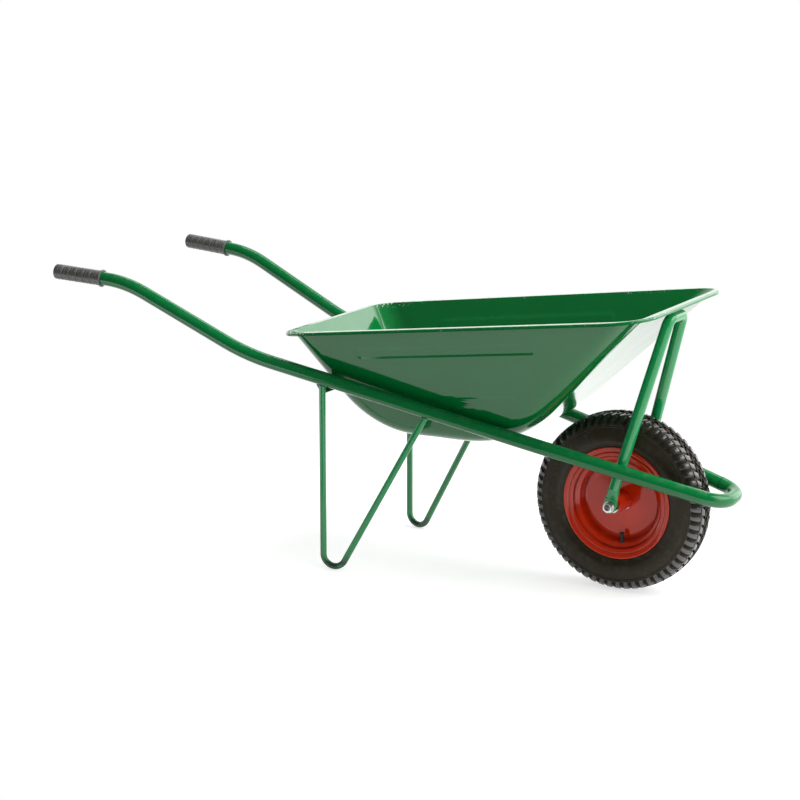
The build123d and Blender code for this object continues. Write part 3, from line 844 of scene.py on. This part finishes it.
class BARROW_OT_hardware(bpy.types.Operator):
    """Zinc-plated nuts, washers and bolts, the plain axle and the bearings"""

    bl_idname = "barrow.hardware"
    bl_label = "Hardware"

    def execute(self, context):
        tones = context.scene.barrow_colours
        sizes = context.scene.barrow_hardware
        zinc = plated_steel("zinc_steel", tones.zinc, rough=0.26, spangle=700.0)
        dress((
            "axle_washers", "axle_spacers", "bearing_spacer", "nose_sleeve", "tray_bolts", "tray_washers",
        ), zinc)
        ground_steel = plated_steel("bearing_steel", tones.bearing, rough=0.10, spangle=1500.0)
        dress(("bearing_inner_races", "bearing_outer_races", "bearing_balls"), ground_steel)
        self.nuts(sizes, zinc, context.scene.barrow_frame.bar_lean)
        plain = plated_steel("axle_steel", tones.axle_grey, rough=0.40, spangle=900.0)
        low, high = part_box("axle")
        to_axle = along_axis(AXLE, (0.0, 1.0, 0.0))
        shaft = turned("axle_shaft", self.shaft(sizes, (high.y - low.y) / 2), 40, to_axle)
        rides("axle_shaft", shaft, plain, "frame", "zinc_steel", "axle")
        return {"FINISHED"}

    def nuts(self, sizes, zinc, lean):
        """Chamfered nuts on the axle and on the two tray bolts."""
        wheel_nuts = []
        tray_nuts = []
        bore = sizes.axle_radius + sizes.nut_gap
        axle_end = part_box("axle_nuts")[1].y - sizes.nut_height / 2
        low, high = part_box("tray_nuts")
        middle = (low + high) / 2
        tray_axis = (-cos(lean), 0.0, -sin(lean))
        for side in (-1.0, 1.0):
            spot = along_axis((AXLE.x, side * axle_end, AXLE.z), (0.0, side, 0.0))
            wheel_nuts.append(hexagon_nut("axle_nut", sizes.nut_flats, sizes.nut_height, bore, spot))
            spot = along_axis((middle.x, side * sizes.bolt_spacing / 2, middle.z), tray_axis)
            tray_nuts.append(hexagon_nut(
                "tray_nut", sizes.tray_nut_flats, sizes.tray_nut_height, sizes.bolt_radius, spot
            ))
        for name, meshes in (("axle_nuts", wheel_nuts), ("tray_nuts", tray_nuts)):
            piece = f"chamfered_{name}"
            rides(piece, joined(piece, meshes), zinc, "frame", "zinc_steel", name)

    def shaft(self, sizes, half):
        """Outline of the axle: centre holes, chamfers and threaded ends."""
        radius = sizes.axle_radius
        chamfer = sizes.axle_chamfer
        pitch = sizes.thread_pitch
        line = [
            (0.0, 0.0012 - half), (0.0016, 0.0012 - half), (0.0028, -half), (radius - chamfer, -half),
            (radius, chamfer - half),
        ]
        for step in range(int(sizes.thread_length / pitch)):
            at = chamfer - half + pitch * step
            line += [(radius - sizes.thread_depth, at + pitch / 2), (radius, at + pitch)]
        return [*line, *[(radius, -along) for radius, along in reversed(line)]]


class BARROW_OT_tyre(bpy.types.Operator):
    """Turned tyre body with a ring of tread blocks"""

    bl_idname = "barrow.tyre"
    bl_label = "Tyre"

    def execute(self, context):
        sizes = context.scene.barrow_tyre
        tones = context.scene.barrow_colours
        rubber = moulded_rubber(
            "tyre_rubber", tones.tyre_black, tones.dust, rough=0.42, grain=0.00012, dusty=0.10
        )
        worn = moulded_rubber(
            "tread_rubber", tones.tread_black, tones.dust, rough=0.29, grain=0.00004, dusty=0.02, shine=0.9
        )
        dull = moulded_rubber(
            "crown_rubber", tones.tread_black, tones.dust, rough=0.58, grain=0.00010, dusty=0.06, shine=0.15
        )
        to_wheel = Matrix.Translation(AXLE) @ Matrix.Rotation(radians(-90.0), 4, "X")
        body = turned("tyre_body", self.outline(sizes), sizes.segments, to_wheel)
        rides("tyre_body", body, rubber, "wheel", "tyre_rubber", "tyre")
        pieces = {"tyre_shoulder": (worn, []), "tyre_crown": (dull, [])}
        ring = ring_of_shapes()
        for side in (-1.0, 1.0):
            for piece, name, shape, start in self.shapes(sizes, side):
                finish, blocks = pieces[piece]
                master = bpy.data.objects.new(name, shape)
                context.scene.collection.objects.link(master)
                values = {
                    "Shape": master, "Count": sizes.pitches, "Axle": AXLE, "Start": start,
                    "Material": finish,
                }
                blocks.append(ring.bake(name + "s", values))
                bpy.data.objects.remove(master)
        for piece, (finish, blocks) in pieces.items():
            rides(piece, joined(piece, blocks), finish, "wheel", "tyre_rubber")
        dress(("inner_tube", "valve_stem"), moulded_rubber(
            "tube_rubber", tones.valve_black, tones.dust, rough=0.40, grain=0.00005, dusty=0.06
        ))
        plastic = moulded_rubber(
            "cap_plastic", tones.valve_black, tones.dust, rough=0.34, grain=0.00004, dusty=0.05
        )
        rides("ribbed_cap", self.cap(sizes), plastic, "wheel", "cap_plastic", "valve_cap")
        return {"FINISHED"}

    def cap(self, sizes):
        """Valve cap with ribs for the fingers, pointing at the axle."""
        low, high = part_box("valve_cap")
        centre = (low + high) / 2
        half = sizes.cap_length / 2
        sections = []
        for step in range(48):
            radius = sizes.cap_radius - (0.0 if step % 4 else sizes.cap_groove)
            sections.append([
                (0.0041, -half), (radius - 0.0003, -half), (radius, 0.0004 - half),
                (radius, half - 0.0014), (radius - 0.0009, half), (0.0, half),
            ])
        inwards = (AXLE.x - centre.x, 0.0, AXLE.z - centre.z)
        return spun("ribbed_cap", sections, along_axis(centre, inwards))

    def outline(self, sizes):
        """Section of the carcass from bead to bead and back inside, without the tread blocks."""
        wide = sizes.half_width
        base = sizes.radius - sizes.lug_height
        half = [
            (0.1022, 0.0195), (0.1022, 0.0257), (0.1085, 0.0270), (0.1160, 0.0318), (0.1198, 0.0338),
            (0.1215, 0.0352), (0.1232, 0.0362), (0.1240, 0.0362), (0.1252, 0.0376), (0.1275, 0.0382),
            (0.1285, 0.0391), (0.1310, 0.0398), (0.1316, 0.0404), (0.1345, 0.0413),
            (0.1400, wide - 0.0005), (0.1460, wide - 0.0001), (0.1520, wide - 0.0002),
            (0.1580, wide - 0.0008), (0.1620, wide - 0.0016), (0.1630, wide - 0.0012),
            (0.1645, wide - 0.0012), (0.1655, wide - 0.0023), (0.1672, wide - 0.0020),
            (0.1688, wide - 0.0024), (0.1705, wide - 0.0038), (0.1728, 0.0379), (0.1773, 0.0354),
            (0.1814, 0.0308), (0.1843, 0.0250), (base - 0.0012, 0.0197), (base - 0.0004, 0.0120),
            (base, 0.0060), (base, 0.0),
        ]
        inside = [
            (0.1770, 0.0), (0.1750, 0.0180), (0.1680, 0.0300), (0.1475, 0.0355), (0.1270, 0.0290),
            (0.1200, 0.0192),
        ]
        far = [(radius, -along) for radius, along in reversed(half[:-1])]
        far_inside = [(radius, -along) for radius, along in reversed(inside[1:])]
        return [*half, *far, *far_inside, *inside, half[0]]

    def shapes(self, sizes, side):
        """Master blocks on one side: shoulder bars, lower bars between them and two inner rows."""
        pitch = 2.0 * pi / sizes.pitches
        crown = sizes.radius - 0.0002
        bar = [
            (0.1686, 0.0412, 0.1668, 0.0393), (0.1738, 0.0405, 0.1722, 0.0370),
            (0.1790, 0.0376, 0.1766, 0.0346), (0.1836, 0.0325, 0.1806, 0.0301),
            (0.1866, 0.0268, 0.1832, 0.0250),
        ]
        low_bar = [(top - 0.0013, along - 0.0014, low, low_y) for top, along, low, low_y in bar]
        outer_row = [
            (0.1875, 0.0240, 0.1836, 0.0240), (0.1884, 0.0200, 0.1846, 0.0200),
            (0.1890, 0.0160, 0.1851, 0.0160), (0.1893, 0.0122, 0.1855, 0.0122),
        ]
        inner_row = [
            (crown - 0.0003, 0.0100, 0.1856, 0.0100), (crown, 0.0056, 0.1858, 0.0056),
            (crown, 0.0014, 0.1858, 0.0014),
        ]
        start = 0.0 if side > 0 else pitch / 2
        # Piece, block, stations across, and half width, lean and shift in pitches
        rows = (
            ("tyre_shoulder", "shoulder_bar", bar, 0.25, 0.24, 0.0),
            ("tyre_crown", "low_bar", low_bar, 0.12, 0.24, 0.5),
            ("tyre_shoulder", "outer_block", outer_row, 0.35, 0.34, 0.40),
            ("tyre_crown", "inner_block", inner_row, 0.31, -0.30, 0.85),
        )
        for piece, name, stations, wide, lean, shift in rows:
            shape = self.block(name, stations, side, pitch * wide, pitch * lean)
            yield piece, name, shape, start + pitch * shift

    def block(self, name, stations, side, half_turn, skew):
        """One tread block: a strip over the crown, with sloping flanks and a lean round the tyre."""
        foot, flat, bevel = half_turn * 1.12, half_turn * 0.80, 0.0006
        points = []
        last = len(stations) - 1
        for station, (top, top_y, low, low_y) in enumerate(stations):
            lean = skew * (station / last - 0.5)
            edge = half_turn * (0.88 if station in (0, last) else 1.0)
            row = (
                (-foot, low, low_y), (-edge, top - bevel, top_y), (-flat, top, top_y),
                (flat, top, top_y), (edge, top - bevel, top_y), (foot, low, low_y),
            )
            for turn, radius, along in row:
                out, round_tyre = radius * cos(turn + lean), radius * sin(turn + lean)
                points.append(Vector((round_tyre, side * along, out)))
        wide = len(row)
        faces = []
        for first in range(0, last * wide, wide):
            for at in range(first, first + wide - 1):
                faces.append((at, at + 1, at + 1 + wide, at + wide))
        faces.append(tuple(range(wide)))
        faces.append(tuple(range(last * wide + wide - 1, last * wide - 1, -1)))
        for first in range(0, last * wide, wide):
            faces.append((first, first + wide, first + 2 * wide - 1, first + wide - 1))
        return close_up(plain_mesh(name, points, [], faces), radians(40.0))


class BARROW_OT_rim(bpy.types.Operator):
    """Two pressed halves of the rim with a rolled lip, a groove and a stepped bead seat"""

    bl_idname = "barrow.rim"
    bl_label = "Rim"

    def execute(self, context):
        red = NODES["hub_tube"].data.materials[0]
        for hand, side in (("right", -1.0), ("left", 1.0)):
            to_wheel = along_axis(AXLE, (0.0, side, 0.0))
            half = turned(f"{hand}_rim_pressing", self.outline(), 144, to_wheel)
            rides(f"{hand}_rim_pressing", half, red, "wheel", "rim_paint", f"{hand}_rim_half")
        return {"FINISHED"}

    def outline(self):
        """Section of one half: the side that shows, from the hub to the lip, then the tyre's side."""
        shown = [
            (0.0213, 0.0026), (0.0290, 0.0030), (0.0450, 0.0028), (0.0700, 0.0025), (0.0775, 0.0027),
            (0.0800, 0.0033), (0.0820, 0.0046), (0.0834, 0.0066), (0.0850, 0.0100), (0.0872, 0.0148),
            (0.0894, 0.0196), (0.0912, 0.0212), (0.0950, 0.0234), (0.0978, 0.0250), (0.0988, 0.0266),
            (0.0993, 0.0296), (0.1000, 0.0312), (0.1018, 0.0323), (0.1045, 0.0330), (0.1064, 0.0333),
            (0.1076, 0.0327), (0.1092, 0.0327), (0.1104, 0.0340), (0.1135, 0.0350), (0.1165, 0.0358),
            (0.1185, 0.0362), (0.1195, 0.0360), (0.1200, 0.0351),
        ]
        hidden = [
            (0.1196, 0.0342), (0.1150, 0.0332), (0.1050, 0.0310), (0.1018, 0.0296), (0.1016, 0.0245),
            (0.0950, 0.0204), (0.0905, 0.0102), (0.0865, 0.0014), (0.0850, 0.0), (0.0213, 0.0),
        ]
        return [*shown, *hidden, shown[0]]


class BARROW_OT_grips(bpy.types.Operator):
    """Ribbed rubber grips with a collar"""

    bl_idname = "barrow.grips"
    bl_label = "Grips"

    def execute(self, context):
        sizes = context.scene.barrow_grip
        tones = context.scene.barrow_colours
        rubber = moulded_rubber(
            "grip_rubber", tones.grip_grey, tones.dust, rough=0.36, grain=0.000004, dusty=0.14, shine=0.6
        )
        ribs = row_of_rings()
        band = self.band_pitch(sizes)
        in_band = int((band - sizes.rib_room) / sizes.rib_pitch) + 1
        first = sizes.end_zone - sizes.inner_reach + (band - (in_band - 1) * sizes.rib_pitch) / 2
        for hand in ("right", "left"):
            mount = MOUNTS[f"{hand}_grip_barrel"]
            axis = Vector(mount["axis"]).normalized()
            centre = Vector(mount["pos_m"])
            to_handle = along_axis(centre, axis)
            body = turned(f"{hand}_grip_body", self.outline(sizes), 48, to_handle)
            rides(f"{hand}_grip_body", body, rubber, "frame", "grip_rubber", f"{hand}_grip")
            mesh = ribs.bake(f"{hand}_grip_ribs", {
                "Ribs": in_band * sizes.bands, "Ribs in a band": in_band, "Pitch": sizes.rib_pitch,
                "Band pitch": band, "Radius": sizes.body_radius - sizes.rib_sink,
                "Rib radius": sizes.rib_radius - sizes.body_radius + sizes.rib_sink,
                "Start": centre + axis * first, "Axis": axis,
                "Turn": axis.to_track_quat("Z", "Y").to_euler(), "Material": rubber,
            })
            rides(f"{hand}_grip_ribs", mesh, rubber, "frame", "grip_rubber")
        return {"FINISHED"}

    def band_pitch(self, sizes):
        """Length of one ribbed band."""
        return (sizes.inner_reach + sizes.outer_reach - 2.0 * sizes.end_zone) / sizes.bands

    def outline(self, sizes):
        """Section of a grip, from its bore at the collar to the closed end."""
        collar = sizes.collar_radius
        body = sizes.body_radius
        inner = -sizes.inner_reach
        outer = sizes.outer_reach
        line = [
            (sizes.bore_radius, 0.004 + inner), (sizes.bore_radius, inner), (collar - 0.0010, inner),
            (collar, inner + 0.0008), (collar, inner + 0.0026), (collar - 0.0009, inner + 0.0036),
            (body + 0.0006, inner + 0.0043), (body, inner + 0.0056),
        ]
        top, base = sizes.groove_top, sizes.groove_floor
        deep = body - sizes.groove_depth
        for step in range(1, sizes.bands):
            groove = inner + sizes.end_zone + self.band_pitch(sizes) * step
            line += [
                (body, groove - top), (deep, groove - base), (deep, groove + base), (body, groove + top),
            ]
        return [
            *line, (body, outer - 0.0050), (body + 0.0003, outer - 0.0040),
            (body - 0.0001, outer - 0.0020), (body - 0.0013, outer - 0.0007),
            (body - 0.0035, outer - 0.0001), (0.0060, outer), (0.0, outer),
        ]


class BARROW_OT_welds(bpy.types.Operator):
    """Painted weld beads of legs, cross bar and hoop, and the seam in the nose bow"""

    bl_idname = "barrow.welds"
    bl_label = "Welds"

    def execute(self, context):
        sizes = context.scene.barrow_frame
        green = NODES["left_rail"].data.materials[0]
        bead = weld_bead()
        values = {"Radius": sizes.bead_radius, "Ripple": sizes.ripple, "Material": green}
        loops = [*self.leg_loops(sizes), self.bar_loop(sizes), self.hoop_loop(sizes)]
        lines = self.hoop_lines(sizes)
        for hand, side in (("left", 1.0), ("right", -1.0)):
            points = []
            edges = []
            for path, closed in [*((loop, True) for loop in loops), *((line, False) for line in lines)]:
                first, last = len(points), len(points) + len(path) - 1
                points += [(point.x, side * point.y, point.z) for point in path]
                edges += [(at, at + 1) for at in range(first, last)]
                if closed:
                    edges.append((last, first))
            start = plain_mesh(f"{hand}_weld_path", points, edges, [])
            mesh = bead.bake(f"{hand}_welds", values, start)
            rides(f"{hand}_welds", mesh, green, "frame", "frame_paint")
        tones = context.scene.barrow_colours
        grime = moulded_rubber(
            "seam_grime", tones.seam_dirt, tones.seam_dust, rough=0.6, grain=0.00005, dusty=0.2
        )
        rides("nose_seam", self.seam(sizes), grime, "frame", "frame_paint")
        return {"FINISHED"}

    def seam(self, sizes):
        """Dark ring in the joint between the left rail and the nose bow."""
        start, end = Vector(sizes.rail_front), Vector(sizes.nose_corner)
        spot = start.lerp(end, (sizes.seam_x - start.x) / (end.x - start.x))
        edge = sizes.rail_radius + 0.0001
        ring = [(edge - 0.0006, -0.0009), (edge, -0.0007), (edge, 0.0007), (edge - 0.0006, 0.0009)]
        return turned("nose_seam", [*ring, ring[0]], 48, along_axis(spot, end - start))

    def onto_rail(self, sizes, start, way):
        """Where a line meets the left rail's lower run, or passes nearest to it."""
        axis = (Vector(sizes.rail_front) - Vector(sizes.rail_rear)).normalized()
        offset = start - Vector(sizes.rail_rear)
        across = way - axis * way.dot(axis)
        apart = offset - axis * offset.dot(axis)
        a, b = across.dot(across), 2.0 * apart.dot(across)
        c = apart.dot(apart) - sizes.rail_radius ** 2
        return start + way * ((-b - sqrt(max(0.0, b * b - 4.0 * a * c))) / (2.0 * a))

    def ring_on_rail(self, sizes, start, way, across):
        """Outline of a round bar, carried along the bar onto the rail."""
        other = way.cross(across)
        loop = []
        steps = 24
        for step in range(steps):
            turn = 2.0 * pi * step / steps
            edge = (across * cos(turn) + other * sin(turn)) * sizes.leg_radius
            loop.append(self.onto_rail(sizes, start + edge, way))
        return loop

    def leg_loops(self, sizes):
        """Beads at the two ends of the left leg."""
        rear, front = Vector(sizes.rail_rear), Vector(sizes.rail_front)
        plan = Vector((front.x - rear.x, front.y - rear.y, 0.0)).normalized()
        across = Vector((plan.y, -plan.x, 0.0))
        top = rear.lerp(front, (sizes.leg_rear_x - rear.x) / (front.x - rear.x))
        low = Vector((top.x, top.y, 0.1))
        up = Vector((0.0, 0.0, 1.0))
        upright = self.ring_on_rail(sizes, low, up, across)
        slant = plan * sin(sizes.leg_slant) + up * cos(sizes.leg_slant)
        foot = sizes.leg_foot_radius
        vertex = foot + sizes.leg_radius - foot / tan(sizes.leg_slant / 2)
        begin = Vector((top.x, top.y, vertex)) + slant * 0.15
        stay = self.ring_on_rail(sizes, begin, slant, across)
        return [upright, stay]

    def bar_loop(self, sizes):
        """Bead round the left end of the rear cross bar, where it meets the leg."""
        low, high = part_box("rear_cross_bar")
        middle = Vector(((low.x + high.x) / 2, high.y, (low.z + high.z) / 2))
        across = Vector((-sin(sizes.bar_lean), 0.0, cos(sizes.bar_lean))) * (sizes.bar_width / 2)
        through = Vector((cos(sizes.bar_lean), 0.0, sin(sizes.bar_lean))) * (sizes.bar_thickness / 2)
        corners = [across + through, across - through, -across - through, -across + through]
        return [middle + corner for corner in corners]

    def hoop_lines(self, sizes):
        """Beads in the two crevices between the hoop's top and the tray, from the middle outwards."""
        rise = Vector((cos(sizes.front_lean), 0.0, sin(sizes.front_lean)))
        outward = Vector((rise.z, 0.0, -rise.x))
        top = Vector(sizes.hoop_top)
        lines = []
        for turn in (-1.0, 1.0):
            crevice = top - outward * (sizes.hoop_radius - sizes.crevice_depth)
            crevice += rise * turn * sizes.crevice_reach
            lines.append([Vector((crevice.x, top.y * share / 8, crevice.z)) for share in range(5)])
        return lines

    def hoop_loop(self, sizes):
        """Bead round the spot where the hoop's left leg touches the left rail."""
        rail_start, rail_end = Vector(sizes.rail_front), Vector(sizes.nose_corner)
        rail_way = (rail_end - rail_start).normalized()
        top = Vector(sizes.hoop_top)
        foot = Vector((AXLE.x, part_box("front_hoop")[1].y - sizes.hoop_radius, AXLE.z))
        hoop_way = (foot - top).normalized()
        between = rail_way.cross(hoop_way).normalized()
        if between.y > 0:
            between = -between
        gap = top - rail_start
        b = rail_way.dot(hoop_way)
        d, e = rail_way.dot(gap), hoop_way.dot(gap)
        along_rail = (d - b * e) / (1.0 - b * b)
        on_rail = rail_start + rail_way * along_rail
        spot = on_rail + between * (sizes.rail_radius + 0.0002)
        cross = between.cross(rail_way).normalized()
        loop = []
        steps = 20
        for step in range(steps):
            turn = 2.0 * pi * step / steps
            out = (rail_way * cos(turn) + cross * sin(turn)) * sizes.touch_radius
            rail_side = out - rail_way * out.dot(rail_way)
            hoop_side = out - hoop_way * out.dot(hoop_way)
            sink = rail_side.length_squared / (2 * sizes.rail_radius)
            rise = hoop_side.length_squared / (2 * sizes.hoop_radius)
            loop.append(spot + out + between * ((rise - sink) / 2))
        return loop


class BARROW_PT_panel(bpy.types.Panel):
    """Lists the barrow's operators"""

    bl_idname = "BARROW_PT_panel"
    bl_label = "Wheelbarrow"
    bl_space_type = "VIEW_3D"
    bl_region_type = "UI"
    bl_category = "Barrow"

    def draw(self, context):
        for step in OPERATORS:
            self.layout.operator(step.bl_idname)


OPERATORS = (
    BARROW_OT_stage, BARROW_OT_paint, BARROW_OT_hardware, BARROW_OT_tyre, BARROW_OT_rim, BARROW_OT_grips,
    BARROW_OT_welds,
)
CLASSES = (*GROUPS.values(), *OPERATORS, BARROW_PT_panel)


def register():
    """Registers the classes and hangs their sizes on the scene."""
    for one in CLASSES:
        bpy.utils.register_class(one)
    for name, group in GROUPS.items():
        setattr(bpy.types.Scene, name, PointerProperty(type=group))


def unregister():
    """Takes the sizes and the classes away again."""
    for name in GROUPS:
        delattr(bpy.types.Scene, name)
    for one in reversed(CLASSES):
        bpy.utils.unregister_class(one)


def main():
    """Builds the stage and the pieces in order."""
    register()
    bpy.ops.barrow.stage()
    bpy.ops.barrow.paint()
    bpy.ops.barrow.hardware()
    bpy.ops.barrow.tyre()
    bpy.ops.barrow.rim()
    bpy.ops.barrow.grips()
    bpy.ops.barrow.welds()


if __name__ == "__main__":
    main()
